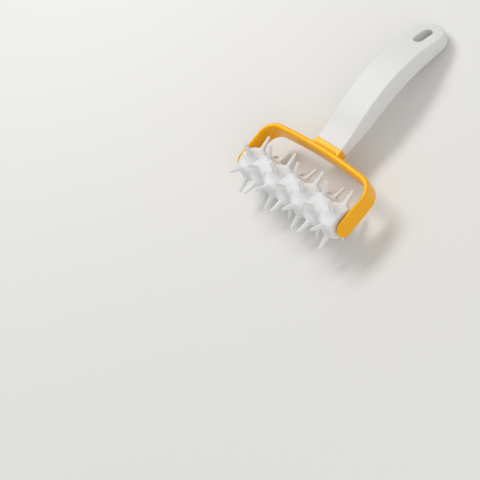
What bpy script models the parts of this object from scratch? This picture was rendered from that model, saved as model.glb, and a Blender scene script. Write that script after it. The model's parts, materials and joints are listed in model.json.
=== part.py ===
"""Dough docker: seven thorned star rings on a keyed axle, carried by a moulded fork on a handle.

The tool is modelled about the roller's axis: X runs along that axis, Y from the roller towards
the end of the handle, and Z across the fork's strap. It is then set down on its spikes and on the
heel of its handle, so that the table is at Z = 0 and the origin is under the middle of the tool.
Lengths are in metres and angles in degrees.
"""

from math import asin, atan2, cos, degrees, hypot, pi, radians, sin, sqrt, tan

import bmesh
import bpy
from mathutils import Matrix, Vector

# Star rings
RING_COUNT = 7
SPIKES_PER_RING = 6
RING_PITCH = 0.0140
RING_GAP = 0.0003
SPIKE_REACH = 0.0224
SPIKE_TIP_WIDTH = 0.0022
SPIKE_SHANK_WIDTH = 0.0038
FLARE_REACH = 0.0124
HUB_RADIUS = 0.0099
HUB_SIDES = 24
THORN_SIDES = 8
# Half width along the axle that a thorn's foot would reach at the hub, before the ring's faces cut it
FLARE_SPREAD = 0.0200
# Shares of the thorn's foot: how far it fills the gap to its neighbour, how hollow its flare is
FOOT_FILL_SHARE = 0.98
FLARE_HOLLOW_SHARE = 1.7
TIP_FLAT_SHARE = 0.6
FLARE_LEVEL_SHARES = (0.0, 0.14, 0.29, 0.46, 0.68, 1.0)
FOOT_DEPTH_SHARE = 0.80

# Keyed axle
AXLE_SIDES = 6
AXLE_CORNER_RADIUS = 0.0042
KEY_CLEARANCE = 0.00025
JOURNAL_RADIUS = 0.0024
JOURNAL_CLEARANCE = 0.0002
JOURNAL_SIDES = 24
AXLE_SHOULDER_GAP = 0.0003

# Fork
END_PLAY = 0.0006
ARM_THICKNESS = 0.00305
JOURNAL_BORE_DEPTH = 0.0020
STRAP_WIDTH = 0.0155
SPIKE_TO_BAR_GAP = 0.0088
BAR_THICKNESS = 0.0043
BAR_ARCH_RADIUS = 0.425
FORK_CORNER_RADIUS = 0.0130
FORK_INNER_CORNER_RADIUS = 0.0100
FORK_EDGE_RADIUS = 0.0020
# The fork's edges are rounded by at most this share of its thickness
EDGE_THICKNESS_SHARE = 0.48
CORNER_STEPS = 6
ARCH_STEPS = 5
ARM_END_STEPS = 5

# Socket block on the fork's bar
BLOCK_WIDTH = 0.0246
BLOCK_THICKNESS = 0.0086
BLOCK_HEIGHT = 0.0048
BLOCK_SET_BACK = 0.0010
BLOCK_FILLET_RADIUS = 0.0026
BLOCK_EDGE_RADIUS = 0.0010
FILLET_STEPS = 4
SOCKET_WALL = 0.0021
SOCKET_FLOOR = 0.0020

# Handle
HANDLE_LENGTH = 0.1140
HANDLE_WIDTH = 0.0240
HANDLE_SEAT_GAP = 0.0003
HANDLE_SEAT_STEP = 0.0003
GRIP_THICKNESS = 0.0154
HANDLE_DROOP = 0.0118
HANDLE_EDGE_RADIUS = 0.0016
HANDLE_END_ROUND = 0.0130
SOCKET_CLEARANCE = 0.0003
HANG_HOLE_WIDTH = 0.0075
HANG_HOLE_LENGTH = 0.0150
HANG_HOLE_WALL = 0.0075
GRIP_STATIONS = 15
END_STATIONS = 6
EDGE_STEPS = 3
HOLE_STEPS = 8
# Rows of the handle: share of its length, share of the grip's extra thickness, share of its droop
HANDLE_ROW_SHARES = (
    (0.00, 0.00, 0.00),
    (0.11, 0.34, 0.01),
    (0.22, 0.78, 0.11),
    (0.36, 0.96, 0.23),
    (0.50, 1.00, 0.24),
    (0.67, 0.94, 0.03),
    (0.83, 0.68, -0.43),
    (1.00, 0.22, -1.00),
)
# The end narrows in thickness as this power of its narrowing in width, over this share of a quarter turn
END_THINNING_SHARE = 0.3
END_TURN_SHARE = 0.9

# How far a cutter runs past the faces that it cuts
OVERRUN = 0.0010
# Points of a mesh closer than this are one point
WELD_DISTANCE = 0.000001

# Sizes that follow from the ones above
RING_WIDTH = RING_PITCH - RING_GAP
STACK_HALF = (RING_COUNT * RING_PITCH - RING_GAP) / 2
FORK_INNER_HALF = STACK_HALF + END_PLAY
FORK_OUTER_HALF = FORK_INNER_HALF + ARM_THICKNESS
BAR_INNER = SPIKE_REACH + SPIKE_TO_BAR_GAP
BAR_OUTER = BAR_INNER + BAR_THICKNESS
BLOCK_TOP = BAR_OUTER + BLOCK_HEIGHT
HANDLE_START = BLOCK_TOP + HANDLE_SEAT_GAP
HANDLE_END = HANDLE_START + HANDLE_LENGTH
SOCKET_DEPTH = BLOCK_TOP - BAR_INNER - SOCKET_FLOOR
SPIKE_STEP = 360 / SPIKES_PER_RING

PARTS_COLLECTION = "dough_docker"
CUTTERS_COLLECTION = "cutters"

YELLOW_PLASTIC = (0.88, 0.46, 0.02)
WHITE_PLASTIC = (0.86, 0.86, 0.87)
AXLE_PLASTIC = (0.78, 0.78, 0.79)


def clear_scene():
    """Removes every object, so that the script starts from an empty scene."""
    for item in list(bpy.data.objects):
        bpy.data.objects.remove(item, do_unlink=True)


def make_collection(name):
    """Returns a new collection linked to the scene."""
    collection = bpy.data.collections.new(name)
    bpy.context.scene.collection.children.link(collection)
    return collection


def make_plastic(name, color, roughness):
    """Returns a moulded plastic as a Principled material."""
    material = bpy.data.materials.new(name)
    material.use_nodes = True
    shader = material.node_tree.nodes["Principled BSDF"]
    shader.inputs["Base Color"].default_value = (*color, 1)
    shader.inputs["Roughness"].default_value = roughness
    shader.inputs["Metallic"].default_value = 0
    return material


def add_object(name, data, collection):
    """Links a new object with this data to a collection."""
    item = bpy.data.objects.new(name, data)
    collection.objects.link(item)
    return item


def hide_cutter(cutter):
    """Shows a cutter as wires only, and keeps it out of renders."""
    cutter.hide_render = True
    cutter.display_type = "WIRE"
    return cutter


def mesh_of(item):
    """Returns an item's evaluated shape as a mesh in world space, with loose caps welded."""
    graph = bpy.context.evaluated_depsgraph_get()
    graph.update()
    mesh = bpy.data.meshes.new_from_object(item.evaluated_get(graph))
    mesh.transform(item.matrix_world)
    shape = bmesh.new()
    shape.from_mesh(mesh)
    bmesh.ops.remove_doubles(shape, verts=shape.verts, dist=WELD_DISTANCE)
    bmesh.ops.recalc_face_normals(shape, faces=shape.faces)
    shape.to_mesh(mesh)
    shape.free()
    return mesh


def extruded_outline(name, points, thickness, placing, collection):
    """Returns a flat outline, filled and extruded evenly to both sides of its own plane.

    The outline lies in the local XY plane, and placing turns and moves it.
    """
    curve = bpy.data.curves.new(name, "CURVE")
    curve.dimensions = "2D"
    curve.fill_mode = "BOTH"
    curve.extrude = thickness / 2
    spline = curve.splines.new("POLY")
    spline.points.add(len(points) - 1)
    for spline_point, (across, along) in zip(spline.points, points):
        spline_point.co = (across, along, 0, 1)
    spline.use_cyclic_u = True
    flat = add_object(name, curve, collection)
    flat.matrix_world = placing
    bpy.context.view_layer.update()
    mesh = mesh_of(flat)
    bpy.data.objects.remove(flat, do_unlink=True)
    bpy.data.curves.remove(curve)
    mesh.name = name
    return add_object(name, mesh, collection)


def arc(centre, radius, start, end, steps):
    """Returns points on an arc between two angles in degrees, both ends included."""
    angles = [radians(start + (end - start) * step / steps) for step in range(steps + 1)]
    return [(centre[0] + radius * cos(angle), centre[1] + radius * sin(angle)) for angle in angles]


def add_boolean(item, operation, other):
    """Adds an exact Boolean with another object, which is parented so that it moves along."""
    other.parent = item
    modifier = item.modifiers.new(f"{operation.lower()}_{other.name}", "BOOLEAN")
    modifier.operation = operation
    modifier.solver = "EXACT"
    modifier.object = other


def add_bevel(item, width, segments):
    """Rounds the edges where an item's faces turn sharply."""
    modifier = item.modifiers.new("rounded_edges", "BEVEL")
    modifier.width = width
    modifier.segments = segments
    modifier.limit_method = "ANGLE"
    modifier.angle_limit = radians(40)


def smooth(item):
    """Shades an item smooth, with its sharp edges kept."""
    item.data.shade_smooth()
    item.data.set_sharp_from_angle(angle=radians(35))


def loft(shape, rings):
    """Skins closed rings of equally many points, and caps the first and the last."""
    loops = [[shape.verts.new(point) for point in ring] for ring in rings]
    for near, far in zip(loops, loops[1:]):
        for index, vertex in enumerate(near):
            following = (index + 1) % len(near)
            shape.faces.new((vertex, near[following], far[following], far[index]))
    shape.faces.new(list(reversed(loops[0])))
    shape.faces.new(loops[-1])


def loft_mesh(name, stacks):
    """Returns a mesh with one closed loft for each stack of rings."""
    shape = bmesh.new()
    for rings in stacks:
        loft(shape, rings)
    bmesh.ops.recalc_face_normals(shape, faces=shape.faces)
    mesh = bpy.data.meshes.new(name)
    shape.to_mesh(mesh)
    shape.free()
    return mesh


def x_cylinder(name, radius, length, sides, collection):
    """Returns a prism or cylinder along X, centred, with a corner of its section along Y."""
    shape = bmesh.new()
    bmesh.ops.create_cone(
        shape,
        cap_ends=True,
        segments=sides,
        radius1=radius,
        radius2=radius,
        depth=length,
        matrix=Matrix.Rotation(pi / 2, 4, "Y"),
    )
    mesh = bpy.data.meshes.new(name)
    shape.to_mesh(mesh)
    shape.free()
    return add_object(name, mesh, collection)


def shank_radius(height):
    """Returns a thorn's radius at a distance from the axle, without its flared foot."""
    tip = SPIKE_TIP_WIDTH / 2
    share = (SPIKE_REACH - height) / (SPIKE_REACH - FLARE_REACH)
    return tip + (SPIKE_SHANK_WIDTH / 2 - tip) * share


def thorn_ring(height, across, along, turn):
    """Returns one level of a thorn: an ellipse at a height, turned about the axle with its thorn."""
    points = []
    for side in range(THORN_SIDES):
        angle = 2 * pi * side / THORN_SIDES
        point = Vector((along * sin(angle), height, across * cos(angle)))
        points.append(Matrix.Rotation(turn, 4, "X") @ point)
    return points


def thorn_levels(turn):
    """Returns the levels of one thorn, from inside the hub up to its blunt tip.

    Its foot is drawn out along the axle further than around it, which makes the ring's outline
    run in hollow curves from thorn to thorn.
    """
    foot = HUB_RADIUS * cos(pi / SPIKES_PER_RING)
    foot_across = FOOT_FILL_SHARE * foot * tan(pi / SPIKES_PER_RING)
    sunk = foot * FOOT_DEPTH_SHARE
    levels = [thorn_ring(sunk, foot_across * FOOT_DEPTH_SHARE, FLARE_SPREAD, turn)]
    for share in FLARE_LEVEL_SHARES:
        height = foot + (FLARE_REACH - foot) * share
        flare = (1 - share) ** FLARE_HOLLOW_SHARE
        shank = shank_radius(height)
        across = shank + (foot_across - shank_radius(foot)) * flare
        along = shank + (FLARE_SPREAD - shank_radius(foot)) * flare
        levels.append(thorn_ring(height, across, along, turn))
    tip = SPIKE_TIP_WIDTH / 2
    flat = tip * TIP_FLAT_SHARE
    levels.append(thorn_ring(SPIKE_REACH - flat, tip, tip, turn))
    levels.append(thorn_ring(SPIKE_REACH, flat, flat, turn))
    return levels


def build_ring_mesh(cutters):
    """Returns the mesh that all rings share: a hub, its thorns and a twelve-point bore.

    The bore is two hexagons a half step apart, so a ring fits the axle in either clocking.
    """
    blank_width = RING_WIDTH + 2 * OVERRUN
    hub = x_cylinder("ring_hub", HUB_RADIUS, blank_width, HUB_SIDES, cutters)
    turns = [radians(SPIKE_STEP * index) for index in range(SPIKES_PER_RING)]
    thorn_mesh = loft_mesh("ring_thorns", [thorn_levels(turn) for turn in turns])
    thorns = hide_cutter(add_object("ring_thorns", thorn_mesh, cutters))
    slab_radius = SPIKE_REACH + OVERRUN
    slab = hide_cutter(x_cylinder("ring_slab", slab_radius, RING_WIDTH, HUB_SIDES, cutters))

    corner = AXLE_CORNER_RADIUS + KEY_CLEARANCE
    notch = corner * cos(pi / AXLE_SIDES) / cos(pi / (2 * AXLE_SIDES))
    star = []
    for point in range(4 * AXLE_SIDES):
        radius = notch if point % 2 else corner
        angle = 2 * pi * point / (4 * AXLE_SIDES)
        star.append((radius * sin(angle), radius * cos(angle)))
    upright = Matrix.Rotation(pi / 2, 4, "Y")
    bore = hide_cutter(extruded_outline("ring_bore", star, blank_width, upright, cutters))

    add_boolean(hub, "UNION", thorns)
    add_boolean(hub, "INTERSECT", slab)
    add_boolean(hub, "DIFFERENCE", bore)
    mesh = mesh_of(hub)
    mesh.name = "spike_ring"
    bpy.data.objects.remove(hub, do_unlink=True)
    return mesh


def build_rings(parts, cutters, material, roller):
    """Adds the rings to the roller, every second one turned half a spike step."""
    mesh = build_ring_mesh(cutters)
    mesh.materials.clear()
    mesh.materials.append(material)
    rings = []
    for index in range(RING_COUNT):
        ring = add_object(f"spike_ring_{index + 1}", mesh, parts)
        ring.parent = roller
        ring.location.x = (index - (RING_COUNT - 1) / 2) * RING_PITCH
        ring.rotation_euler.x = radians(SPIKE_STEP / 2) if index % 2 else 0
        smooth(ring)
        rings.append(ring)
    return rings


def build_axle(parts, cutters, material, roller):
    """Adds the axle: a hexagon through the rings, with a round journal at each end."""
    shoulder = FORK_INNER_HALF - AXLE_SHOULDER_GAP
    journal_end = FORK_INNER_HALF + JOURNAL_BORE_DEPTH - AXLE_SHOULDER_GAP
    axle = x_cylinder("axle", AXLE_CORNER_RADIUS, 2 * shoulder, AXLE_SIDES, parts)
    rod = x_cylinder("axle_journals", JOURNAL_RADIUS, 2 * journal_end, JOURNAL_SIDES, cutters)
    add_boolean(axle, "UNION", hide_cutter(rod))
    axle.data.materials.append(material)
    axle.parent = roller
    smooth(axle)
    return axle


def corner_and_arch(side, top, arch_radius, corner_radius):
    """Returns half an outline of the fork, from the top of its right arm to the middle of its bar.

    A corner arc meets the arm's straight side and the bar's wide arch, tangent to both.
    """
    corner_x = side - corner_radius
    arch_y = top - arch_radius
    corner_y = arch_y + sqrt((arch_radius - corner_radius) ** 2 - corner_x**2)
    turn = degrees(asin(corner_x / (arch_radius - corner_radius)))
    corner = arc((corner_x, corner_y), corner_radius, 0, 90 - turn, CORNER_STEPS)
    arch = arc((0, arch_y), arch_radius, 90 - turn, 90, ARCH_STEPS)
    return corner + arch[1:]


def bar_outer_at(across):
    """Returns how far out the bar's arched outer face lies at a distance from the middle."""
    return BAR_OUTER - BAR_ARCH_RADIUS + sqrt(BAR_ARCH_RADIUS**2 - across**2)


def rounded_rectangle(half_width, half_height, edge_radius):
    """Returns the points of a rectangle with rounded corners, centred on the origin."""
    radius = min(edge_radius, half_width, half_height)
    points = []
    for quarter, (side_x, side_y) in enumerate(((1, 1), (-1, 1), (-1, -1), (1, -1))):
        centre = (side_x * (half_width - radius), side_y * (half_height - radius))
        points += arc(centre, radius, 90 * quarter, 90 * quarter + 90, EDGE_STEPS)
    return points


def strap_section(inner, outer, half_width):
    """Returns one section of the strap, from a point on its inner face to one on its outer face."""
    inner, outer = Vector((*inner, 0)), Vector((*outer, 0))
    middle = (inner + outer) / 2
    outward = (outer - inner).normalized()
    upward = Vector((0, 0, 1))
    thickness = (outer - inner).length
    edge_radius = min(FORK_EDGE_RADIUS, EDGE_THICKNESS_SHARE * thickness)
    section = rounded_rectangle(thickness / 2, half_width, edge_radius)
    return [middle + outward * out + upward * up for out, up in section]


def strap_sections():
    """Returns the strap's sections, from the round end of one arm over the bar to the other."""
    half_width = STRAP_WIDTH / 2
    rows = []
    for step in range(ARM_END_STEPS + 1):
        turn = pi / 2 * END_TURN_SHARE * (1 - step / ARM_END_STEPS)
        below = -half_width * sin(turn) / sin(pi / 2 * END_TURN_SHARE)
        rows.append(((FORK_INNER_HALF, below), (FORK_OUTER_HALF, below), half_width * cos(turn)))
    outer = corner_and_arch(FORK_OUTER_HALF, BAR_OUTER, BAR_ARCH_RADIUS, FORK_CORNER_RADIUS)
    inner_arch = BAR_ARCH_RADIUS - BAR_THICKNESS
    inner = corner_and_arch(FORK_INNER_HALF, BAR_INNER, inner_arch, FORK_INNER_CORNER_RADIUS)
    rows += [(inside, outside, half_width) for inside, outside in zip(inner, outer)]
    for (in_x, in_y), (out_x, out_y), width in reversed(rows[:-1]):
        rows.append(((-in_x, in_y), (-out_x, out_y), width))
    return [strap_section(*row) for row in rows]


def build_block(cutters):
    """Returns the socket block, which flares into the bar in two fillets."""
    half = BLOCK_WIDTH / 2
    foot_x = half + BLOCK_FILLET_RADIUS
    foot_y = bar_outer_at(foot_x)
    fillet = arc((foot_x, foot_y + BLOCK_FILLET_RADIUS), BLOCK_FILLET_RADIUS, 270, 180, FILLET_STEPS)
    sunk = BAR_OUTER - BAR_THICKNESS / 2
    right = [(foot_x, sunk), *fillet, (half, BLOCK_TOP)]
    left = [(-across, along) for across, along in reversed(right)]
    placing = Matrix.Translation((0, 0, -BLOCK_SET_BACK))
    block = extruded_outline("socket_block", right + left, BLOCK_THICKNESS, placing, cutters)
    add_bevel(block, BLOCK_EDGE_RADIUS, 2)
    return hide_cutter(block)


def box(name, width, length, height, near, middle_z, collection):
    """Returns a box centred across, that starts at a distance along Y."""
    shape = bmesh.new()
    middle = Matrix.Translation((0, near + length / 2, middle_z))
    size = Matrix.Diagonal((width, length, height, 1))
    bmesh.ops.create_cube(shape, size=1, matrix=middle @ size)
    mesh = bpy.data.meshes.new(name)
    shape.to_mesh(mesh)
    shape.free()
    return add_object(name, mesh, collection)


def build_fork(parts, cutters, material, tool):
    """Adds the fork: strap and socket block in one piece, with its socket and its journal bores."""
    fork = add_object("fork_frame", loft_mesh("fork_frame", [strap_sections()]), parts)
    bore_reach = FORK_INNER_HALF + JOURNAL_BORE_DEPTH
    bore_radius = JOURNAL_RADIUS + JOURNAL_CLEARANCE
    bores = x_cylinder("journal_bores", bore_radius, 2 * bore_reach, JOURNAL_SIDES, cutters)
    add_boolean(fork, "DIFFERENCE", hide_cutter(bores))
    add_boolean(fork, "UNION", build_block(cutters))
    socket = box(
        "handle_socket",
        BLOCK_WIDTH - 2 * SOCKET_WALL,
        SOCKET_DEPTH + OVERRUN,
        BLOCK_THICKNESS - 2 * SOCKET_WALL,
        BLOCK_TOP - SOCKET_DEPTH,
        -BLOCK_SET_BACK,
        cutters,
    )
    add_boolean(fork, "DIFFERENCE", hide_cutter(socket))
    fork.data.materials.append(material)
    fork.parent = tool
    smooth(fork)
    return fork


def smooth_row(rows, share, column):
    """Returns a column of a table at a share along it, on a smooth curve through its rows."""
    last = len(rows) - 2
    index = max(row for row in range(last + 1) if rows[row][0] <= share)

    def slope(row):
        before, after = max(row - 1, 0), min(row + 1, last + 1)
        rise = rows[after][column] - rows[before][column]
        return rise / (rows[after][0] - rows[before][0])

    start, end = rows[index], rows[index + 1]
    span = end[0] - start[0]
    part = (share - start[0]) / span
    rest = 1 - part
    value = start[column] * (1 + 2 * part) * rest**2 + end[column] * (1 + 2 * rest) * part**2
    return value + span * part * rest * (slope(index) * rest - slope(index + 1) * part)


def handle_section(along, half_width, thickness, height):
    """Returns one section of the handle: a rounded rectangle across Y."""
    section = rounded_rectangle(half_width, thickness / 2, HANDLE_EDGE_RADIUS)
    return [Vector((across, along, height + up)) for across, up in section]


def handle_sections():
    """Returns the handle's sections, from its seat on the block to its round end."""
    root_thickness = BLOCK_THICKNESS - 2 * HANDLE_SEAT_STEP
    half_width = HANDLE_WIDTH / 2
    straight = HANDLE_LENGTH - HANDLE_END_ROUND
    stations = [(straight * step / GRIP_STATIONS, 1) for step in range(GRIP_STATIONS + 1)]
    for step in range(1, END_STATIONS + 1):
        turn = pi / 2 * END_TURN_SHARE * step / END_STATIONS
        reach = HANDLE_END_ROUND * sin(turn) / sin(pi / 2 * END_TURN_SHARE)
        stations.append((straight + reach, cos(turn)))
    sections = []
    for length, narrowing in stations:
        share = min(length / HANDLE_LENGTH, 1)
        fullness = smooth_row(HANDLE_ROW_SHARES, share, 1)
        thickness = root_thickness + (GRIP_THICKNESS - root_thickness) * fullness
        height = HANDLE_DROOP * smooth_row(HANDLE_ROW_SHARES, share, 2) - BLOCK_SET_BACK
        sections.append(
            handle_section(
                HANDLE_START + length,
                half_width * narrowing,
                thickness * narrowing**END_THINNING_SHARE,
                height,
            )
        )
    return sections


def build_handle(parts, cutters, material, tool):
    """Adds the handle, with a tang in the fork's socket and a hole to hang it by."""
    handle = add_object("handle", loft_mesh("handle", [handle_sections()]), parts)
    tang_length = SOCKET_DEPTH - SOCKET_CLEARANCE + HANDLE_SEAT_GAP + OVERRUN
    tang = box(
        "handle_tang",
        BLOCK_WIDTH - 2 * (SOCKET_WALL + SOCKET_CLEARANCE),
        tang_length,
        BLOCK_THICKNESS - 2 * (SOCKET_WALL + SOCKET_CLEARANCE),
        HANDLE_START + OVERRUN - tang_length,
        -BLOCK_SET_BACK,
        cutters,
    )
    add_boolean(handle, "UNION", hide_cutter(tang))

    radius = HANG_HOLE_WIDTH / 2
    far = HANDLE_END - HANG_HOLE_WALL - radius
    near = far - (HANG_HOLE_LENGTH - HANG_HOLE_WIDTH)
    slot = arc((0, far), radius, 0, 180, HOLE_STEPS) + arc((0, near), radius, 180, 360, HOLE_STEPS)
    depth = 2 * (HANDLE_DROOP + GRIP_THICKNESS)
    hole = extruded_outline("hang_hole", slot, depth, Matrix(), cutters)
    add_boolean(handle, "DIFFERENCE", hide_cutter(hole))
    handle.data.materials.append(material)
    handle.parent = tool
    smooth(handle)
    return handle


def world_points(items):
    """Returns every vertex of some objects, as evaluated and in world space."""
    graph = bpy.context.evaluated_depsgraph_get()
    graph.update()
    points = []
    for item in items:
        evaluated = item.evaluated_get(graph)
        mesh = evaluated.to_mesh()
        points += [evaluated.matrix_world @ vertex.co for vertex in mesh.vertices]
        evaluated.to_mesh_clear()
    return points


def set_down(root, tool, rings, handle, everything):
    """Stands the tool on a table: the rings on two rows of spikes, the handle on its heel.

    The tool turns about the roller until the first point of the handle touches the table.
    """
    axis_height = -min(point.z for point in world_points(rings))
    touching = []
    for point in world_points([handle]):
        reach = hypot(point.y, point.z)
        if reach > axis_height:
            touching.append(-asin(axis_height / reach) - atan2(point.z, point.y))
    tool.rotation_euler.x = max(touching)
    bpy.context.view_layer.update()
    points = world_points(everything)
    middle_y = (min(point.y for point in points) + max(point.y for point in points)) / 2
    root.location = (0, -middle_y, -min(point.z for point in points))
    bpy.context.view_layer.update()


def main():
    """Builds the dough docker."""
    clear_scene()
    parts = make_collection(PARTS_COLLECTION)
    cutters = make_collection(CUTTERS_COLLECTION)
    root = add_object("docker_root", None, parts)
    tool = add_object("fork_and_handle", None, parts)
    roller = add_object("roller", None, parts)
    tool.parent = root
    roller.parent = root
    roller.rotation_euler.x = radians(SPIKE_STEP / 4)

    yellow = make_plastic("yellow_plastic", YELLOW_PLASTIC, 0.35)
    white = make_plastic("white_plastic", WHITE_PLASTIC, 0.35)
    ring_white = make_plastic("ring_plastic", WHITE_PLASTIC, 0.4)
    axle_white = make_plastic("axle_plastic", AXLE_PLASTIC, 0.45)

    fork = build_fork(parts, cutters, yellow, tool)
    handle = build_handle(parts, cutters, white, tool)
    axle = build_axle(parts, cutters, axle_white, roller)
    rings = build_rings(parts, cutters, ring_white, roller)
    bpy.context.view_layer.update()
    set_down(root, tool, rings, handle, [fork, handle, axle, *rings])
    print("roller axis at", tuple(round(value, 6) for value in root.location))
    print("tool tilt", round(degrees(tool.rotation_euler.x), 3))


main()
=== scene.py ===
"""Dough docker: a fork with a socket block, a drooping handle and a roller of spiked star rings."""

import json
import logging
from collections.abc import Callable
from dataclasses import dataclass
from enum import Enum, IntEnum
from math import asin, cos, hypot, pi, radians, sin, sqrt, tan
from typing import NamedTuple

import bmesh
import bpy
from mathutils import Matrix, Vector


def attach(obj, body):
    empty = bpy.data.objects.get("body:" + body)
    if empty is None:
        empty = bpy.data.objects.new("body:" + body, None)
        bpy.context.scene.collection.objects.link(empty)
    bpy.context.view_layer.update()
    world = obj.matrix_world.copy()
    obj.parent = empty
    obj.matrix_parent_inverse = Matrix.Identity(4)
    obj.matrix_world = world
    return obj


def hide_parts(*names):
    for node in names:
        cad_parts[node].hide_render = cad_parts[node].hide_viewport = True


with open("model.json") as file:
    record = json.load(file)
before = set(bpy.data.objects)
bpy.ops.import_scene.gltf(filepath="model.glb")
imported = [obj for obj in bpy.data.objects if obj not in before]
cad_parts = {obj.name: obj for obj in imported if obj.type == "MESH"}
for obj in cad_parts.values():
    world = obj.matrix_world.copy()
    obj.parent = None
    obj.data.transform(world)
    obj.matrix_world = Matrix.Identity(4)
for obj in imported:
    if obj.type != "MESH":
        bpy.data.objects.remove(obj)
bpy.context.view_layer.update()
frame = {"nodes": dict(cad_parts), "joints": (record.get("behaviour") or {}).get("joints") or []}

log = logging.getLogger("dough_docker")

Element = bmesh.types.BMVert | bmesh.types.BMEdge | bmesh.types.BMFace

MM = 0.001
# Points that lie closer than this are one point
WELD = 0.001 * MM
# How far a place may be off, and the size of the speck that a line starts from
SLACK = 0.01 * MM
# How far a solid runs on past the face where it is joined or cut away
OVERLAP = 1.0 * MM
# Edges that turn more than this are rounded where a rounding is asked for
SHARP_TURN = radians(50)
# Edges that turn more than this are shaded as sharp on the fork and the handle
CREASE_TURN = radians(35)
# Sockets of the Mix node by number, because those for numbers, vectors and colours share names
MIX_FIRST_COLOUR, MIX_SECOND_COLOUR, MIX_RESULT_COLOUR = 6, 7, 2
TOOL_BODY = "fork_and_handle"
ROLLER_BODY = "roller"
# Where the roller's axle lies, and how far the handle dips below the level when its heel rests
ROLLER_CENTRE = Vector(frame["joints"][0]["pos_m"])
TOOL_TILT = radians(-2.091)


class Axis(Enum):
    """An axis of the tool: along the axle, or across the strap."""

    AXLE = Vector((1, 0, 0))
    ACROSS = Vector((0, 0, 1))


class Detail(Enum):
    """What is picked in edit mode, by Blender's names."""

    POINT = "VERT"
    EDGE = "EDGE"
    FACE = "FACE"


# Editing


def make_active(item: bpy.types.Object) -> None:
    """Selects one item alone, in object mode.

    Args:
        item: The object that the next operators act on.
    """
    if bpy.context.mode != "OBJECT":
        bpy.ops.object.mode_set(mode="OBJECT")
    bpy.ops.object.select_all(action="DESELECT")
    bpy.context.view_layer.objects.active = item
    item.select_set(True)


def newest(name: str) -> bpy.types.Object:
    """Names the primitive that was just added.

    Args:
        name: The name for the object and its mesh.

    Returns:
        The active object.
    """
    item = bpy.context.view_layer.objects.active
    item.name = name
    item.data.name = name
    return item


def bake_place(item: bpy.types.Object) -> None:
    """Moves an item's place, turn and scale into its points.

    Args:
        item: The object that is changed.
    """
    make_active(item)
    bpy.ops.object.transform_apply(location=True, rotation=True, scale=True)


class Editing:
    """Edit mode on one item, with nothing selected at the start."""

    def __init__(self, item: bpy.types.Object) -> None:
        """Keeps the item that is edited."""
        self.item = item

    def __enter__(self) -> "Editing":
        """Starts edit mode."""
        make_active(self.item)
        bpy.ops.object.mode_set(mode="EDIT")
        bpy.ops.mesh.select_mode(type="VERT")
        bpy.ops.mesh.select_all(action="DESELECT")
        return self

    def __exit__(self, *_problem: object) -> None:
        """Ends edit mode."""
        bpy.ops.object.mode_set(mode="OBJECT")

    def pick(self, detail: Detail, test: Callable[[Element], bool]) -> None:
        """Selects the points, edges or faces that pass a test, and no others.

        Args:
            detail: Which of the three are picked.
            test: Says of one of them whether it is wanted.
        """
        bpy.ops.mesh.select_mode(type=detail.value)
        bpy.ops.mesh.select_all(action="DESELECT")
        shape = bmesh.from_edit_mesh(self.item.data)
        choices = {Detail.POINT: shape.verts, Detail.EDGE: shape.edges, Detail.FACE: shape.faces}
        for element in choices[detail]:
            if test(element):
                element.select_set(True)
        if detail is Detail.POINT:
            shape.select_flush_mode()
        bmesh.update_edit_mesh(self.item.data)

    def weigh_edges(self, share: Callable[[bmesh.types.BMEdge], float]) -> None:
        """Gives each sharp edge its share of the rounding that follows.

        Args:
            share: Says of an edge how much of the rounding it gets, from 0 to 1.
        """
        shape = bmesh.from_edit_mesh(self.item.data)
        weight = shape.edges.layers.float.new("bevel_weight_edge")
        for edge in shape.edges:
            if edge.calc_face_angle() > SHARP_TURN:
                edge[weight] = share(edge)
        bmesh.update_edit_mesh(self.item.data)

    @staticmethod
    def extrude(step: Vector) -> None:
        """Extrudes what is selected by a step."""
        bpy.ops.mesh.extrude_region_move(TRANSFORM_OT_translate={"value": step})

    @staticmethod
    def start_line(place: tuple[float, float, float]) -> None:
        """Adds one selected point, for a line to be drawn from."""
        bpy.ops.mesh.primitive_circle_add(
            vertices=3, radius=SLACK, fill_type="NOTHING", location=place
        )
        bpy.ops.mesh.merge(type="CENTER")

    @staticmethod
    def extrude_line(step: Vector) -> None:
        """Draws a line out of the selected point by a step."""
        bpy.ops.mesh.extrude_vertices_move(TRANSFORM_OT_translate={"value": step})

    @staticmethod
    def sweep_line(steps: int, turn: float, about: tuple[float, float]) -> None:
        """Draws an arc out of the selected point, in the plane of the arms.

        Args:
            steps: How many lines the arc has.
            turn: The angle, counted anticlockwise. Blender's spin counts it the other way.
            about: The arc's centre.
        """
        bpy.ops.mesh.spin(steps=steps, angle=-turn, center=(*about, 0), axis=Axis.ACROSS.value)

    @staticmethod
    def scale(shares: tuple[float, float, float], about: Vector) -> None:
        """Scales what is selected about a point."""
        bpy.ops.transform.resize(value=shares, center_override=about)

    @staticmethod
    def face_outwards() -> None:
        """Merges doubles and points every face outwards."""
        bpy.ops.mesh.select_all(action="SELECT")
        bpy.ops.mesh.remove_doubles(threshold=WELD)
        bpy.ops.mesh.normals_make_consistent(inside=False)


def apply_modifier(item: bpy.types.Object, kind: str, **settings: object) -> None:
    """Adds a modifier to an item and applies it.

    Args:
        item: The object that is changed.
        kind: Blender's name for the modifier's type.
        settings: The modifier's settings.
    """
    make_active(item)
    modifier = item.modifiers.new(kind.lower(), kind)
    for setting, value in settings.items():
        setattr(modifier, setting, value)
    bpy.ops.object.modifier_apply(modifier=modifier.name)


def cut(item: bpy.types.Object, operation: str, other: bpy.types.Object) -> None:
    """Joins another solid to an item, cuts it away or keeps what they share.

    Args:
        item: The object that is changed.
        operation: UNION, DIFFERENCE or INTERSECT.
        other: The other solid, which is deleted afterwards.
    """
    apply_modifier(item, "BOOLEAN", operation=operation, solver="EXACT", object=other)
    bpy.data.objects.remove(other, do_unlink=True)


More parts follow.
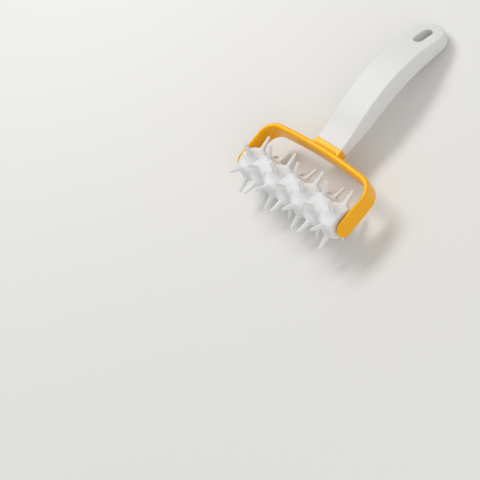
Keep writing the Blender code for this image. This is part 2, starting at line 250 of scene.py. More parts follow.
def shade(item: bpy.types.Object) -> None:
    """Shades an item smooth between its creases, with flat faces kept flat.

    Args:
        item: The object that is shaded.
    """
    make_active(item)
    bpy.ops.object.shade_smooth_by_angle(angle=CREASE_TURN)
    apply_modifier(item, "WEIGHTED_NORMAL", keep_sharp=True)


def dress(item: bpy.types.Object, name: str, material: bpy.types.Material) -> None:
    """Names an item and gives it its only material.

    Args:
        item: The object that is dressed.
        name: The name for the object and its mesh.
        material: The material.
    """
    item.name = name
    item.data.name = name
    item.data.materials.clear()
    item.data.materials.append(material)


def place_in_world(item: bpy.types.Object, turn: float) -> None:
    """Moves an item from the roller's axis at the origin to its place on the table.

    Args:
        item: The object, modelled about the roller's axis.
        turn: How far it is turned about the axle.
    """
    item.matrix_world = Matrix.Translation(ROLLER_CENTRE) @ Matrix.Rotation(turn, 4, "X")
    bake_place(item)


def empty_item(name: str) -> bpy.types.Object:
    """Adds an object without points, for an outline to be drawn in.

    Args:
        name: The name for the object and its mesh.

    Returns:
        The object.
    """
    bpy.ops.object.select_all(action="DESELECT")
    bpy.ops.mesh.primitive_plane_add(size=MM)
    item = newest(name)
    with Editing(item):
        bpy.ops.mesh.select_all(action="SELECT")
        bpy.ops.mesh.delete(type="VERT")
    return item


def box(
    name: str, centre: tuple[float, float, float], size: tuple[float, float, float]
) -> bpy.types.Object:
    """Adds a box about a centre.

    Args:
        name: The name for the object and its mesh.
        centre: The box's middle.
        size: Its length along each axis.

    Returns:
        The box.
    """
    bpy.ops.object.select_all(action="DESELECT")
    bpy.ops.mesh.primitive_cube_add(size=1, location=centre, scale=size)
    return newest(name)


def cylinder_along_axle(
    name: str, radius: float, length: float, sides: int, centre: tuple[float, float] = (0, 0)
) -> bpy.types.Object:
    """Adds a cylinder that lies along the axle.

    Args:
        name: The object's name.
        radius: The radius.
        length: The length.
        sides: How many sides.
        centre: How far its axis lies from the roller's, along the arms and across the strap.

    Returns:
        The cylinder.
    """
    bpy.ops.mesh.primitive_cylinder_add(
        vertices=sides,
        radius=radius,
        depth=length,
        location=(0, *centre),
        rotation=(0, pi / 2, 0),
    )
    item = newest(name)
    bake_place(item)
    return item


# Finishes


def linear(hex_colour: str) -> tuple[float, float, float, float]:
    """Turns an sRGB colour into the linear one that Blender works in.

    Args:
        hex_colour: Six hex digits after a hash.

    Returns:
        Red, green, blue and full opacity.
    """
    shares = [int(hex_colour[start : start + 2], 16) / 255 for start in (1, 3, 5)]
    return (*(s / 12.92 if s <= 0.04045 else ((s + 0.055) / 1.055) ** 2.4 for s in shares), 1.0)


def add_node(
    tree: bpy.types.NodeTree,
    kind: str,
    inputs: dict[str | int, object] | None = None,
    **settings: object,
) -> bpy.types.Node:
    """Adds a node to a tree.

    Args:
        tree: The material's or world's node tree.
        kind: The node's type, without the words that all of them start with.
        inputs: A value or an output socket for each input, by its name, or by its number where
            several share a name.
        settings: The node's own properties.

    Returns:
        The node.
    """
    node = tree.nodes.new(f"ShaderNode{kind}")
    for setting, value in settings.items():
        setattr(node, setting, value)
    for name, value in (inputs or {}).items():
        if isinstance(value, bpy.types.NodeSocket):
            tree.links.new(value, node.inputs[name])
        else:
            node.inputs[name].default_value = value
    return node


@dataclass(frozen=True)
class MouldedPlastic:
    """Injection-moulded plastic with a satin skin.

    The mould's spark-eroded grain breaks up the gloss. The melt's flow leaves faint cloudy streaks,
    and light passes a little way into the plastic.
    """

    name: str
    colour: str
    cloud_colour: str
    roughness: float
    roughness_spread: float
    grain_mm: float
    grain_depth_mm: float
    cloud_mm: float
    gloss: float
    gloss_tint: str
    scatter_share: float
    scatter_mm: float
    scatter_radius: tuple[float, float, float]
    cloud_detail: float = 3.0
    cloud_fineness: float = 0.55
    cloud_range: tuple[float, float] = (0.3, 0.7)
    grain_detail: float = 2.0
    grain_fineness: float = 0.6
    bump_strength: float = 0.6
    refraction: float = 1.49

    def material(self) -> bpy.types.Material:
        """Returns the finish as a Principled material with procedural detail."""
        made = bpy.data.materials.new(self.name)
        made.use_nodes = True
        tree = made.node_tree
        shader = tree.nodes["Principled BSDF"]
        place = add_node(tree, "TexCoord").outputs["Object"]
        clouds = add_node(
            tree,
            "TexNoise",
            {
                "Vector": place,
                "Scale": 1 / (self.cloud_mm * MM),
                "Detail": self.cloud_detail,
                "Roughness": self.cloud_fineness,
            },
        ).outputs["Fac"]
        grain = add_node(
            tree,
            "TexNoise",
            {
                "Vector": place,
                "Scale": 1 / (self.grain_mm * MM),
                "Detail": self.grain_detail,
                "Roughness": self.grain_fineness,
            },
        ).outputs["Fac"]
        tint = add_node(
            tree,
            "Mix",
            {
                "Factor": clouds,
                MIX_FIRST_COLOUR: linear(self.colour),
                MIX_SECOND_COLOUR: linear(self.cloud_colour),
            },
            data_type="RGBA",
        )
        skin = add_node(
            tree,
            "MapRange",
            {
                "Value": clouds,
                "From Min": self.cloud_range[0],
                "From Max": self.cloud_range[1],
                "To Min": self.roughness - self.roughness_spread,
                "To Max": self.roughness + self.roughness_spread,
            },
        )
        bump = add_node(
            tree,
            "Bump",
            {
                "Strength": self.bump_strength,
                "Distance": self.grain_depth_mm * MM,
                "Height": grain,
            },
        )
        tree.links.new(tint.outputs[MIX_RESULT_COLOUR], shader.inputs["Base Color"])
        tree.links.new(skin.outputs["Result"], shader.inputs["Roughness"])
        tree.links.new(bump.outputs["Normal"], shader.inputs["Normal"])
        constants = {
            "IOR": self.refraction,
            "Specular IOR Level": self.gloss,
            "Specular Tint": linear(self.gloss_tint),
            "Subsurface Weight": self.scatter_share,
            "Subsurface Radius": self.scatter_radius,
            "Subsurface Scale": self.scatter_mm * MM,
        }
        for socket, value in constants.items():
            shader.inputs[socket].default_value = value
        return made


# Yellow polypropylene: deep and warm in shade, near lemon where the light strikes an edge
YELLOW_POLYPROPYLENE = MouldedPlastic(
    name="yellow_moulded_polypropylene",
    colour="#FFB000",
    cloud_colour="#FFB700",
    roughness=0.32,
    roughness_spread=0.03,
    grain_mm=0.5,
    grain_depth_mm=0.004,
    cloud_mm=9.0,
    gloss=0.65,
    gloss_tint="#FFE98C",
    scatter_share=0.12,
    scatter_mm=1.0,
    scatter_radius=(1.0, 0.6, 0.2),
)

# White polypropylene of the handle: smooth, faintly cool, a soft sheen
WHITE_POLYPROPYLENE = MouldedPlastic(
    name="white_moulded_polypropylene",
    colour="#E2E2E1",
    cloud_colour="#E6E6E5",
    roughness=0.42,
    roughness_spread=0.05,
    grain_mm=0.6,
    grain_depth_mm=0.010,
    cloud_mm=12.0,
    gloss=0.25,
    gloss_tint="#FFFFFF",
    scatter_share=0.2,
    scatter_mm=1.4,
    scatter_radius=(1.0, 0.9, 0.8),
)

# White acetal-like plastic of the rings: a little more matt, so that flour lets go of it
RING_PLASTIC = MouldedPlastic(
    name="white_moulded_ring_plastic",
    colour="#E4E5E5",
    cloud_colour="#E9E9E9",
    roughness=0.46,
    roughness_spread=0.05,
    grain_mm=0.5,
    grain_depth_mm=0.010,
    cloud_mm=6.0,
    gloss=0.3,
    gloss_tint="#FFFFFF",
    scatter_share=0.2,
    scatter_mm=1.2,
    scatter_radius=(1.0, 0.9, 0.8),
)

# The axle's plastic is greyer and duller, as an unseen inner part is left
AXLE_PLASTIC = MouldedPlastic(
    name="grey_moulded_axle_plastic",
    colour="#D8D8D9",
    cloud_colour="#DEDEDF",
    roughness=0.5,
    roughness_spread=0.05,
    grain_mm=0.4,
    grain_depth_mm=0.012,
    cloud_mm=6.0,
    gloss=0.5,
    gloss_tint="#FFFFFF",
    scatter_share=0.1,
    scatter_mm=1.0,
    scatter_radius=(1.0, 0.9, 0.8),
)


# Roller


class Level(NamedTuple):
    """A level of a thorn: how far out it lies, and its half widths along and round the axle."""

    height: float
    half_along: float
    half_around: float


@dataclass
class Roller:
    """The roller: equal star rings with thorns, every second one turned half a step."""

    rings: int = 7
    pitch: float = 14.0 * MM
    gap: float = 0.04 * MM
    spikes: int = 6
    reach: float = 22.4 * MM
    tip_width: float = 2.2 * MM
    shank_width: float = 3.8 * MM
    shank_start: float = 12.4 * MM
    hub_radius: float = 10.3 * MM
    foot_spread: float = 14.4 * MM
    foot_fill_share: float = 0.98
    foot_depth_share: float = 0.8
    tip_height_share: float = 0.7
    hollow_share: float = 1.45
    bore_radius: float = 4.35 * MM
    end_trim: float = 0.8 * MM
    end_radius: float = 9.6 * MM
    end_slope: float = 3.0
    thorn_sides: int = 32
    hub_sides: int = 96
    bore_sides: int = 48
    slab_sides: int = 24
    flare_levels: int = 14
    tip_levels: int = 4
    voxel: float = 0.24 * MM
    smoothing: float = 0.5
    smoothing_rounds: int = 10
    kept_share: float = 0.35
    crease_turn: float = radians(40)
    finish: MouldedPlastic = RING_PLASTIC

    def shank(self, height: float) -> float:
        """Returns a thorn's radius at a distance from the axle, without its flared foot."""
        tip = self.tip_width / 2
        share = (self.reach - height) / (self.reach - self.shank_start)
        return tip + (self.shank_width / 2 - tip) * share

    def thorn_levels(self) -> list[Level]:
        """Returns a thorn's levels, from inside the hub out to the tip."""
        step = pi / self.spikes
        foot = self.hub_radius * cos(step)
        around = self.foot_fill_share * foot * tan(step)
        deep = self.foot_depth_share
        levels = [Level(deep * foot, self.foot_spread, deep * around)]
        for index in range(self.flare_levels + 1):
            share = index / self.flare_levels
            height = foot + (self.shank_start - foot) * share
            flare = (1 - share) ** self.hollow_share
            shank, root = self.shank(height), self.shank(foot)
            half_along = shank + (self.foot_spread - root) * flare
            half_around = shank + (around - root) * flare
            levels.append(Level(height, half_along, half_around))
        tip = self.tip_width / 2
        for index in range(self.tip_levels):
            turn = pi / 2 * index / self.tip_levels
            width = tip * cos(turn)
            height = self.reach - tip * self.tip_height_share * (1 - sin(turn))
            levels.append(Level(height, width, width))
        return levels

    def thorned_hub(self) -> bpy.types.Object:
        """Returns the hub with its thorns, as overlapping closed shells about the origin."""
        levels = self.thorn_levels()
        first = levels[0]
        bpy.ops.object.select_all(action="DESELECT")
        bpy.ops.mesh.primitive_circle_add(
            vertices=self.thorn_sides, radius=1, fill_type="NGON", location=(0, 0, first.height)
        )
        item = newest("ring_pattern")
        item.scale = (first.half_along, first.half_around, 1)
        bake_place(item)
        with Editing(item) as edit:
            bpy.ops.mesh.select_all(action="SELECT")
            for low, high in zip(levels, levels[1:]):
                edit.extrude(Vector((0, 0, high.height - low.height)))
                edit.scale(
                    (high.half_along / low.half_along, high.half_around / low.half_around, 1),
                    Vector((0, 0, high.height)),
                )
            edit.face_outwards()
            bpy.ops.mesh.spin(
                steps=self.spikes - 1,
                dupli=True,
                angle=2 * pi * (self.spikes - 1) / self.spikes,
                center=(0, 0, 0),
                axis=Axis.AXLE.value,
            )
            bpy.ops.mesh.select_all(action="DESELECT")
            bpy.ops.mesh.primitive_cylinder_add(
                vertices=self.hub_sides,
                radius=self.hub_radius,
                depth=self.pitch,
                rotation=(0, pi / 2, 0),
            )
        return item

    def ring_pattern(self) -> bpy.types.Object:
        """Returns one ring about the origin, with soft valleys between its thorns."""
        item = self.thorned_hub()
        apply_modifier(item, "REMESH", mode="VOXEL", voxel_size=self.voxel)
        body = item.vertex_groups.new(name="body")
        limit = self.shank_start
        low = [p.index for p in item.data.vertices if hypot(p.co.y, p.co.z) < limit]
        body.add(low, 1.0, "REPLACE")
        apply_modifier(
            item,
            "SMOOTH",
            factor=self.smoothing,
            iterations=self.smoothing_rounds,
            vertex_group="body",
        )
        width = self.pitch - self.gap
        slab = cylinder_along_axle("slab", self.reach + OVERLAP, width, self.slab_sides)
        cut(item, "INTERSECT", slab)
        bore = cylinder_along_axle("bore", self.bore_radius, self.pitch, self.bore_sides)
        cut(item, "DIFFERENCE", bore)
        apply_modifier(item, "DECIMATE", ratio=self.kept_share)
        item.vertex_groups.clear()
        make_active(item)
        bpy.ops.object.shade_smooth_by_angle(angle=self.crease_turn)
        return item

    def trim_end(self, ring: bpy.types.Object, side: int) -> None:
        """Tapers the outer end of an outermost ring, which leaves the arm beside it free.

        Args:
            ring: The ring, about the origin.
            side: 1 for the end towards +X, -1 for the other.
        """
        depth = 2 * self.pitch
        end = self.pitch / 2 - self.end_trim
        bpy.ops.object.select_all(action="DESELECT")
        bpy.ops.mesh.primitive_cone_add(
            vertices=self.hub_sides,
            radius1=self.end_radius + self.end_slope * depth,
            radius2=self.end_radius,
            depth=depth,
            location=(side * (end - depth / 2), 0, 0),
            rotation=(0, side * pi / 2, 0),
        )
        cut(ring, "INTERSECT", newest("taper"))
        make_active(ring)
        bpy.ops.object.shade_smooth_by_angle(angle=self.crease_turn)

    def build(self) -> list[bpy.types.Object]:
        """Returns the rings in place, each with its own mesh."""
        pattern = self.ring_pattern()
        material = self.finish.material()
        quarter_step = radians(180 / self.spikes) / 2
        made = []
        for index in range(self.rings):
            ring = pattern.copy()
            ring.data = pattern.data.copy()
            bpy.context.scene.collection.objects.link(ring)
            dress(ring, f"thorned_ring_{index + 1}", material)
            if index in (0, self.rings - 1):
                self.trim_end(ring, 1 if index else -1)
            ring.location.x = (index - (self.rings - 1) / 2) * self.pitch
            bake_place(ring)
            place_in_world(ring, quarter_step if index % 2 else -quarter_step)
            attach(ring, ROLLER_BODY)
            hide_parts(f"spike_ring_{index + 1}")
            made.append(ring)
        bpy.data.objects.remove(pattern, do_unlink=True)
        return made


# Fork


@dataclass
class Fork:
    """The fork: one strap bent round the roller, with a socket block on its bar."""

    inner_half: float = 50.1 * MM
    outer_half: float = 52.5 * MM
    bar_inner: float = 31.2 * MM
    bar_outer: float = 35.5 * MM
    width: float = 15.5 * MM
    arch_radius: float = 425.0 * MM
    corner_radius: float = 13.0 * MM
    inner_corner_radius: float = 10.0 * MM
    edge_radius: float = 2.0 * MM
    edge_steps: int = 8
    arm_edge_share: float = 0.55
    # Corner steps under 2 degrees, or the rounding shifts along the edge where its share changes
    corner_steps: int = 50
    arch_steps: int = 24
    end_steps: int = 14
    end_turn_share: float = 0.97
    flat_turn: float = radians(0.1)
    bore_radius: float = 2.6 * MM
    bore_reach: float = 51.45 * MM
    bore_sides: int = 48
    block_half: float = 12.3 * MM
    block_thickness: float = 8.6 * MM
    block_top: float = 40.3 * MM
    block_set_back: float = 1.0 * MM
    block_fillet: float = 2.6 * MM
    block_edge_radius: float = 0.7 * MM
    block_edge_steps: int = 3
    fillet_steps: int = 10
    saddle_radius: float = 2.2 * MM
    saddle_taper: float = 3.6 * MM
    saddle_sides: int = 64
    # How far the saddle's thin edges sink into the bar and into the block
    sink_in_bar: float = 0.1 * MM
    sink_in_block: float = 0.03 * MM
    socket_wall: float = 2.1 * MM
    socket_floor: float = 2.0 * MM
    finish: MouldedPlastic = YELLOW_POLYPROPYLENE

    def draw_side(self, edit: Editing, side: float, top: float, arch: float, corner: float) -> None:
        """Draws half an outline of the strap: up the right arm, round the corner, to the middle.

        Args:
            edit: The edit session that the line is drawn in.
            side: How far out the arm's face lies.
            top: How far up the middle of the bar's face lies.
            arch: The radius of the bar's arch.
            corner: The radius of the corner.
        """
        corner_x = side - corner
        arch_y = top - arch
        corner_y = arch_y + sqrt((arch - corner) ** 2 - corner_x**2)
        turn = asin(corner_x / (arch - corner))
        edit.start_line((side, 0, 0))
        edit.extrude_line(Vector((0, corner_y, 0)))
        edit.sweep_line(self.corner_steps, pi / 2 - turn, (corner_x, corner_y))
        edit.sweep_line(self.arch_steps, turn, (0, arch_y))

    def strap(self) -> bpy.types.Object:
        """Returns the strap about the roller's axis, with round arm ends and rounded edges."""
        item = empty_item("fork")
        inner_arch = self.arch_radius - (self.bar_outer - self.bar_inner)
        with Editing(item) as edit:
            self.draw_side(
                edit, self.outer_half, self.bar_outer, self.arch_radius, self.corner_radius
            )
            self.draw_side(
                edit, self.inner_half, self.bar_inner, inner_arch, self.inner_corner_radius
            )
            bpy.ops.mesh.select_all(action="SELECT")
            bpy.ops.mesh.remove_doubles(threshold=WELD)
            bpy.ops.mesh.bridge_edge_loops()
        apply_modifier(item, "MIRROR", use_axis=(True, False, False), merge_threshold=SLACK)
        half = self.width / 2
        with Editing(item) as edit:
            edit.face_outwards()
            bpy.ops.transform.translate(value=(0, 0, -half))
            edit.extrude(Vector((0, 0, self.width)))
            edit.face_outwards()
            edit.pick(Detail.FACE, lambda face: all(abs(p.co.y) < WELD for p in face.verts))
            last = pi / 2 * self.end_turn_share
            before = 0.0
            for index in range(1, self.end_steps + 1):
                turn = last * index / self.end_steps
                below = half * (sin(turn) - sin(before)) / sin(last)
                edit.extrude(Vector((0, -below, 0)))
                edit.scale((1, 1, cos(turn) / cos(before)), Vector((0, 0, 0)))
                before = turn
            edit.face_outwards()
            bpy.ops.mesh.dissolve_limited(angle_limit=self.flat_turn)
            edit.weigh_edges(self.edge_share)
        apply_modifier(
            item,
            "BEVEL",
            width=self.edge_radius,
            segments=self.edge_steps,
            limit_method="WEIGHT",
            use_clamp_overlap=False,
        )
        return item

    def edge_share(self, edge: bmesh.types.BMEdge) -> float:
        """Returns the share of the rounding that one of the strap's edges gets.

        The thin arms take less of it than the bar does, and it grows round the corners.

        Args:
            edge: The edge, about the roller's axis.

        Returns:
            The share, from 0 to 1.
        """
        across = abs(sum(point.co.x for point in edge.verts)) / 2
        inwards = min(1.0, (self.outer_half - across) / self.corner_radius)
        return self.arm_edge_share + (1 - self.arm_edge_share) * inwards

    def block(self) -> bpy.types.Object:
        """Returns the socket block, which flares into the bar in two fillets."""
        foot_x = self.block_half + self.block_fillet
        arch_y = self.bar_outer - self.arch_radius
        foot_y = arch_y + sqrt(self.arch_radius**2 - foot_x**2)
        sunk = (self.bar_outer + self.bar_inner) / 2
        item = empty_item("block")
        with Editing(item) as edit:
            edit.start_line((foot_x, sunk, 0))
            edit.extrude_line(Vector((0, foot_y - sunk, 0)))
            edit.sweep_line(self.fillet_steps, -pi / 2, (foot_x, foot_y + self.block_fillet))
            edit.extrude_line(Vector((0, self.block_top - foot_y - self.block_fillet, 0)))
            bpy.ops.mesh.select_all(action="SELECT")
            bpy.ops.mesh.remove_doubles(threshold=WELD)
        apply_modifier(item, "MIRROR", use_axis=(True, False, False), use_mirror_merge=False)
        with Editing(item) as edit:
            bpy.ops.mesh.select_all(action="SELECT")
            bpy.ops.mesh.bridge_edge_loops()
            edit.face_outwards()
            low = -self.block_thickness / 2 - self.block_set_back
            bpy.ops.transform.translate(value=(0, 0, low))
            edit.extrude(Vector((0, 0, self.block_thickness)))
            edit.face_outwards()
        apply_modifier(
            item,
            "BEVEL",
            width=self.block_edge_radius,
            segments=self.block_edge_steps,
            limit_method="ANGLE",
            angle_limit=SHARP_TURN,
        )
        return item

    def saddle(self) -> bpy.types.Object:
        """Returns the hollow fillet that runs from the block's top up the bar's outer face."""
        radius = self.saddle_radius
        top = self.block_thickness / 2 - self.block_set_back
        near, high = self.bar_outer - self.sink_in_bar, top + radius - self.sink_in_block
        half = self.block_half - self.block_edge_radius
        item = box(
            "saddle",
            (0, near + radius / 2 - OVERLAP / 2, high - radius / 2 - OVERLAP / 2),
            (2 * half, radius + OVERLAP, radius + OVERLAP),
        )
        with Editing(item) as edit:
            edit.pick(Detail.POINT, lambda point: point.co.z > 0)
            edit.scale((1 - self.saddle_taper / half, 1, 1), Vector((0, 0, 0)))
        length = 3 * self.block_half
        centre = (near + radius, high)
        curve = cylinder_along_axle("curve", radius, length, self.saddle_sides, centre)
        cut(item, "DIFFERENCE", curve)
        return item

    def socket(self) -> bpy.types.Object:
        """Returns the solid that is cut out of the block for the handle's tang."""
        floor = self.bar_inner + self.socket_floor
        return box(
            "socket",
            (0, (floor + self.block_top + OVERLAP) / 2, -self.block_set_back),
            (
                2 * (self.block_half - self.socket_wall),
                self.block_top + OVERLAP - floor,
                self.block_thickness - 2 * self.socket_wall,
            ),
        )

    def build(self) -> bpy.types.Object:
        """Returns the fork in place."""
        item = self.strap()
        cut(item, "UNION", self.block())
        cut(item, "UNION", self.saddle())
        cut(item, "DIFFERENCE", self.socket())
        length = 2 * self.bore_reach
        bores = cylinder_along_axle("bores", self.bore_radius, length, self.bore_sides)
        cut(item, "DIFFERENCE", bores)
        shade(item)
        dress(item, "bent_fork", self.finish.material())
        place_in_world(item, TOOL_TILT)
        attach(item, TOOL_BODY)
        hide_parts("fork_frame")
        return item


# Handle


class Section(NamedTuple):
    """A cross-section of the handle: where it lies along the tool, its size and its height."""

    along: float
    half_width: float
    thickness: float
    height: float


class Column(IntEnum):
    """A column of the handle's rows: shares of its length, of its swell and of its droop."""

    PLACE = 0
    SWELL = 1
    DROOP = 2


@dataclass
class Handle:
    """The handle: it rises from the block, swells into the grip and droops to its round end."""

    start: float = 40.4 * MM
    length: float = 114.19 * MM
    width: float = 24.0 * MM
    root_thickness: float = 8.0 * MM
    grip_thickness: float = 15.4 * MM
    droop: float = 11.76 * MM
    set_back: float = 1.0 * MM
    edge_radius: float = 1.0 * MM
    edge_steps: int = 5
    end_round: float = 13.0 * MM
    # The counts keep every section clear of the two ends of the hanging hole
    stations: int = 59
    end_stations: int = 18
    end_turn_share: float = 0.9
    end_thinning_share: float = 0.3
    tang_width: float = 19.8 * MM
    tang_thickness: float = 3.8 * MM
    tang_length: float = 6.8 * MM
    hole_width: float = 7.5 * MM
    hole_length: float = 15.0 * MM
    hole_wall: float = 7.5 * MM
    hole_sides: int = 64
    hole_edge_radius: float = 0.4 * MM
    hole_edge_steps: int = 4
    hole_edge_turn: float = radians(40)
    # How far from the hole its rim is looked for, and how short an edge on it is merged away
    hole_margin: float = 0.2 * MM
    hole_short_edge: float = 0.15 * MM
    finish: MouldedPlastic = WHITE_POLYPROPYLENE
    # Shares of the length, of the grip's extra thickness and of the droop
    rows: tuple[tuple[float, float, float], ...] = (
        (0.00, 0.00, 0.00),
        (0.11, 0.34, 0.01),
        (0.22, 0.78, 0.11),
        (0.36, 0.96, 0.23),
        (0.50, 1.00, 0.24),
        (0.67, 0.94, 0.03),
        (0.83, 0.68, -0.43),
        (1.00, 0.22, -1.00),
    )

    def row_at(self, share: float, column: Column) -> float:
        """Returns a column of the rows at a share of the length, on a smooth curve through them.

        Args:
            share: How far along the handle, from 0 to 1.
            column: Which column of the rows.

        Returns:
            The column's value there.
        """
        rows = self.rows
        last = len(rows) - 2
        places = [row[Column.PLACE] for row in rows]
        index = max(row for row in range(last + 1) if places[row] <= share)

        def slope(row: int) -> float:
            """Returns the curve's slope at a row, from its neighbours."""
            before, after = max(row - 1, 0), min(row + 1, last + 1)
            return (rows[after][column] - rows[before][column]) / (places[after] - places[before])

        start, end = rows[index][column], rows[index + 1][column]
        span = places[index + 1] - places[index]
        part = (share - places[index]) / span
        rest = 1 - part
        value = start * (1 + 2 * part) * rest**2 + end * (1 + 2 * rest) * part**2
        return value + span * part * rest * (slope(index) * rest - slope(index + 1) * part)

    def sections(self) -> list[Section]:
        """Returns the cross-sections along the handle, from the block to the round end."""
        straight = self.length - self.end_round
        stations = [(straight * step / self.stations, 1.0) for step in range(self.stations + 1)]
        full_turn = pi / 2 * self.end_turn_share
        for step in range(1, self.end_stations + 1):
            turn = full_turn * step / self.end_stations
            stations.append((straight + self.end_round * sin(turn) / sin(full_turn), cos(turn)))
        made = []
        for along, narrowing in stations:
            share = min(along / self.length, 1.0)
            extra = (self.grip_thickness - self.root_thickness) * self.row_at(share, Column.SWELL)
            thickness = (self.root_thickness + extra) * narrowing**self.end_thinning_share
            height = self.droop * self.row_at(share, Column.DROOP) - self.set_back
            half_width = self.width / 2 * narrowing
            made.append(Section(self.start + along, half_width, thickness, height))
        return made

    def grip(self) -> bpy.types.Object:
        """Returns the handle's body about the roller's axis, with rounded edges."""
        sections = self.sections()
        first = sections[0]
        bpy.ops.object.select_all(action="DESELECT")
        bpy.ops.mesh.primitive_plane_add(
            size=1, location=(0, first.along, first.height), rotation=(-pi / 2, 0, 0)
        )
        item = newest("handle_grip")
        item.scale = (2 * first.half_width, first.thickness, 1)
        bake_place(item)
        with Editing(item) as edit:
            bpy.ops.mesh.select_all(action="SELECT")
            for before, after in zip(sections, sections[1:]):
                edit.extrude(Vector((0, after.along - before.along, after.height - before.height)))
                edit.scale(
                    (after.half_width / before.half_width, 1, after.thickness / before.thickness),
                    Vector((0, after.along, after.height)),
                )
            edit.face_outwards()
            edit.weigh_edges(self.edge_share)
        apply_modifier(
            item,
            "BEVEL",
            width=self.edge_radius,
            segments=self.edge_steps,
            limit_method="WEIGHT",
        )
        return item

    def edge_share(self, edge: bmesh.types.BMEdge) -> float:
        """Returns 1 for an edge that is rounded, or 0 for one where the handle meets the block.

        Args:
            edge: The edge, about the roller's axis.

        Returns:
            The share of the rounding that the edge gets.
        """
        return float(any(abs(point.co.y - self.start) >= SLACK for point in edge.verts))

    def tang(self) -> bpy.types.Object:
        """Returns the tang that sits in the fork's socket."""
        return box(
            "tang",
            (0, self.start + OVERLAP / 2 - self.tang_length / 2, -self.set_back),
            (self.tang_width, self.tang_length + OVERLAP, self.tang_thickness),
        )

    def hanging_hole(self) -> bpy.types.Object:
        """Returns the oblong solid that is cut out to hang the tool by."""
        radius = self.hole_width / 2
        far = self.start + self.length - self.hole_wall - radius
        stretch = self.hole_length - self.hole_width
        deep = 4 * self.grip_thickness
        bpy.ops.object.select_all(action="DESELECT")
        bpy.ops.mesh.primitive_cylinder_add(
            vertices=self.hole_sides, radius=radius, depth=deep, location=(0, far - stretch, 0)
        )
        item = newest("hanging_hole")
        bake_place(item)
        with Editing(item) as edit:
            edit.pick(Detail.POINT, lambda point: point.co.y > far - stretch + SLACK)
            bpy.ops.transform.translate(value=(0, stretch, 0))
        return item

    def round_hole(self, item: bpy.types.Object) -> None:
        """Rounds the rim of the hanging hole at both of its mouths.

        Args:
            item: The handle's body with the hole in it.
        """
        end = self.start + self.length - self.hole_wall
        near, far = end - self.hole_length - self.hole_margin, end + self.hole_margin
        reach = self.hole_width / 2 + self.hole_margin

        def at_hole(point: bmesh.types.BMVert) -> bool:
            """Returns whether a point lies on the hole's wall or rim."""
            return abs(point.co.x) < reach and near < point.co.y < far

        def on_rim(edge: bmesh.types.BMEdge) -> bool:
            """Returns whether an edge lies on the hole's rim."""
            return (
                len(edge.link_faces) == 2
                and edge.calc_face_angle() > self.hole_edge_turn
                and all(at_hole(point) for point in edge.verts)
            )

        with Editing(item) as edit:
            edit.pick(Detail.POINT, at_hole)
            bpy.ops.mesh.remove_doubles(threshold=self.hole_short_edge)
            edit.pick(Detail.EDGE, on_rim)
            bpy.ops.mesh.bevel(offset=self.hole_edge_radius, segments=self.hole_edge_steps)

    def build(self) -> bpy.types.Object:
        """Returns the handle in place."""
        item = self.grip()
        cut(item, "DIFFERENCE", self.hanging_hole())
        self.round_hole(item)
        cut(item, "UNION", self.tang())
        shade(item)
        dress(item, "drooping_handle", self.finish.material())
        place_in_world(item, TOOL_TILT)
        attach(item, TOOL_BODY)
        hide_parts("handle")
        return item


# Stage


@dataclass(frozen=True)
class Softbox:
    """An area light that is aimed at the tool."""

    name: str
    place: tuple[float, float, float]
    length: float
    width: float
    watts: float

    def hang(self) -> None:
        """Adds the light. Its long sides are level."""
        data = bpy.data.lights.new(self.name, "AREA")
        data.shape = "RECTANGLE"
        data.size = self.length
        data.size_y = self.width
        data.energy = self.watts
        lamp = bpy.data.objects.new(self.name, data)
        bpy.context.scene.collection.objects.link(lamp)
        lamp.location = self.place
        lamp.rotation_euler = (-Vector(self.place)).to_track_quat("-Z", "Y").to_euler()


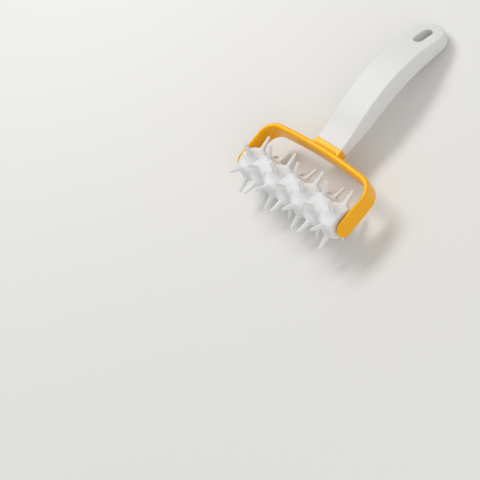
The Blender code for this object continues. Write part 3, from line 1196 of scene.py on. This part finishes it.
@dataclass
class Stage:
    """The pale table, the soft light and the camera."""

    table_colour: str = "#E9E8E5"
    sky_colour: str = "#F1F1F0"
    table_size: float = 3.0
    table_roughness: float = 0.9
    fade_start: float = 0.12
    fade_end: float = 1.0
    sky_light: float = 0.56
    softboxes: tuple[Softbox, ...] = (
        Softbox("key", (-0.62, 0.2, 0.86), 0.6, 0.26, 5.6),
        Softbox("fill", (0.9, -0.3, 0.6), 0.8, 0.8, 2.9),
    )
    camera_place: tuple[float, float, float] = (0.34741, -0.11343, 0.48426)
    camera_turn: tuple[float, float, float, float] = (0.894259, 0.104399, 0.305873, 0.309587)
    focal_length: float = 63.6
    sensor_width: float = 36.0
    nearest_seen: float = 10 * MM

    def table(self) -> None:
        """Adds the table that the tool lies on. The camera sees it fade into the sky."""
        bpy.ops.object.select_all(action="DESELECT")
        bpy.ops.mesh.primitive_plane_add(size=self.table_size)
        item = newest("table")
        made = bpy.data.materials.new("matt_table")
        made.use_nodes = True
        tree = made.node_tree
        shader = tree.nodes["Principled BSDF"]
        shader.inputs["Base Color"].default_value = linear(self.table_colour)
        shader.inputs["Roughness"].default_value = self.table_roughness
        place = add_node(tree, "TexCoord").outputs["Object"]
        away = add_node(tree, "VectorMath", {0: place}, operation="LENGTH").outputs["Value"]
        fade = add_node(
            tree,
            "MapRange",
            {"Value": away, "From Min": self.fade_start, "From Max": self.fade_end},
            interpolation_type="SMOOTHSTEP",
        ).outputs["Result"]
        by_camera = add_node(tree, "LightPath").outputs["Is Camera Ray"]
        seen = add_node(tree, "Math", {0: fade, 1: by_camera}, operation="MULTIPLY")
        sky = add_node(tree, "Emission", {"Color": linear(self.sky_colour)})
        mixed = add_node(
            tree,
            "MixShader",
            {
                "Fac": seen.outputs["Value"],
                1: shader.outputs["BSDF"],
                2: sky.outputs["Emission"],
            },
        )
        tree.links.new(mixed.outputs["Shader"], tree.nodes["Material Output"].inputs["Surface"])
        item.data.materials.append(made)

    def sky(self) -> None:
        """Sets the pale surroundings, which the camera sees brighter than they light."""
        world = bpy.data.worlds.new("pale_room")
        bpy.context.scene.world = world
        world.use_nodes = True
        tree = world.node_tree
        light = tree.nodes["Background"]
        light.inputs["Color"].default_value = linear(self.sky_colour)
        light.inputs["Strength"].default_value = self.sky_light
        seen = add_node(tree, "Background", {"Color": linear(self.sky_colour), "Strength": 1.0})
        mixed = add_node(
            tree,
            "MixShader",
            {
                "Fac": add_node(tree, "LightPath").outputs["Is Camera Ray"],
                1: light.outputs["Background"],
                2: seen.outputs["Background"],
            },
        )
        tree.links.new(mixed.outputs["Shader"], tree.nodes["World Output"].inputs["Surface"])

    def camera(self) -> None:
        """Adds the camera, placed about the tool as in the photograph."""
        data = bpy.data.cameras.new("camera")
        data.lens = self.focal_length
        data.sensor_width = self.sensor_width
        data.clip_start = self.nearest_seen
        item = bpy.data.objects.new("camera", data)
        bpy.context.scene.collection.objects.link(item)
        item.location = self.camera_place
        item.rotation_mode = "QUATERNION"
        item.rotation_quaternion = self.camera_turn
        bpy.context.scene.camera = item

    def build(self) -> None:
        """Adds the whole stage."""
        self.table()
        self.sky()
        for softbox in self.softboxes:
            softbox.hang()
        self.camera()
        bpy.context.scene.view_settings.view_transform = "Standard"


def dress_axle() -> None:
    """Gives the axle its finish. Only its ends show, between the outer rings and the arms."""
    axle = frame["nodes"]["axle"]
    material = AXLE_PLASTIC.material()
    axle.data.materials.clear()
    axle.data.materials.append(material)


def main() -> None:
    """Builds the dough docker and its stage."""
    logging.basicConfig(level=logging.INFO)
    log.info("fork: %s", Fork().build().name)
    log.info("handle: %s", Handle().build().name)
    for ring in Roller().build():
        log.info("ring: %s, %d faces", ring.name, len(ring.data.polygons))
    dress_axle()
    Stage().build()


if __name__ == "__main__":
    main()
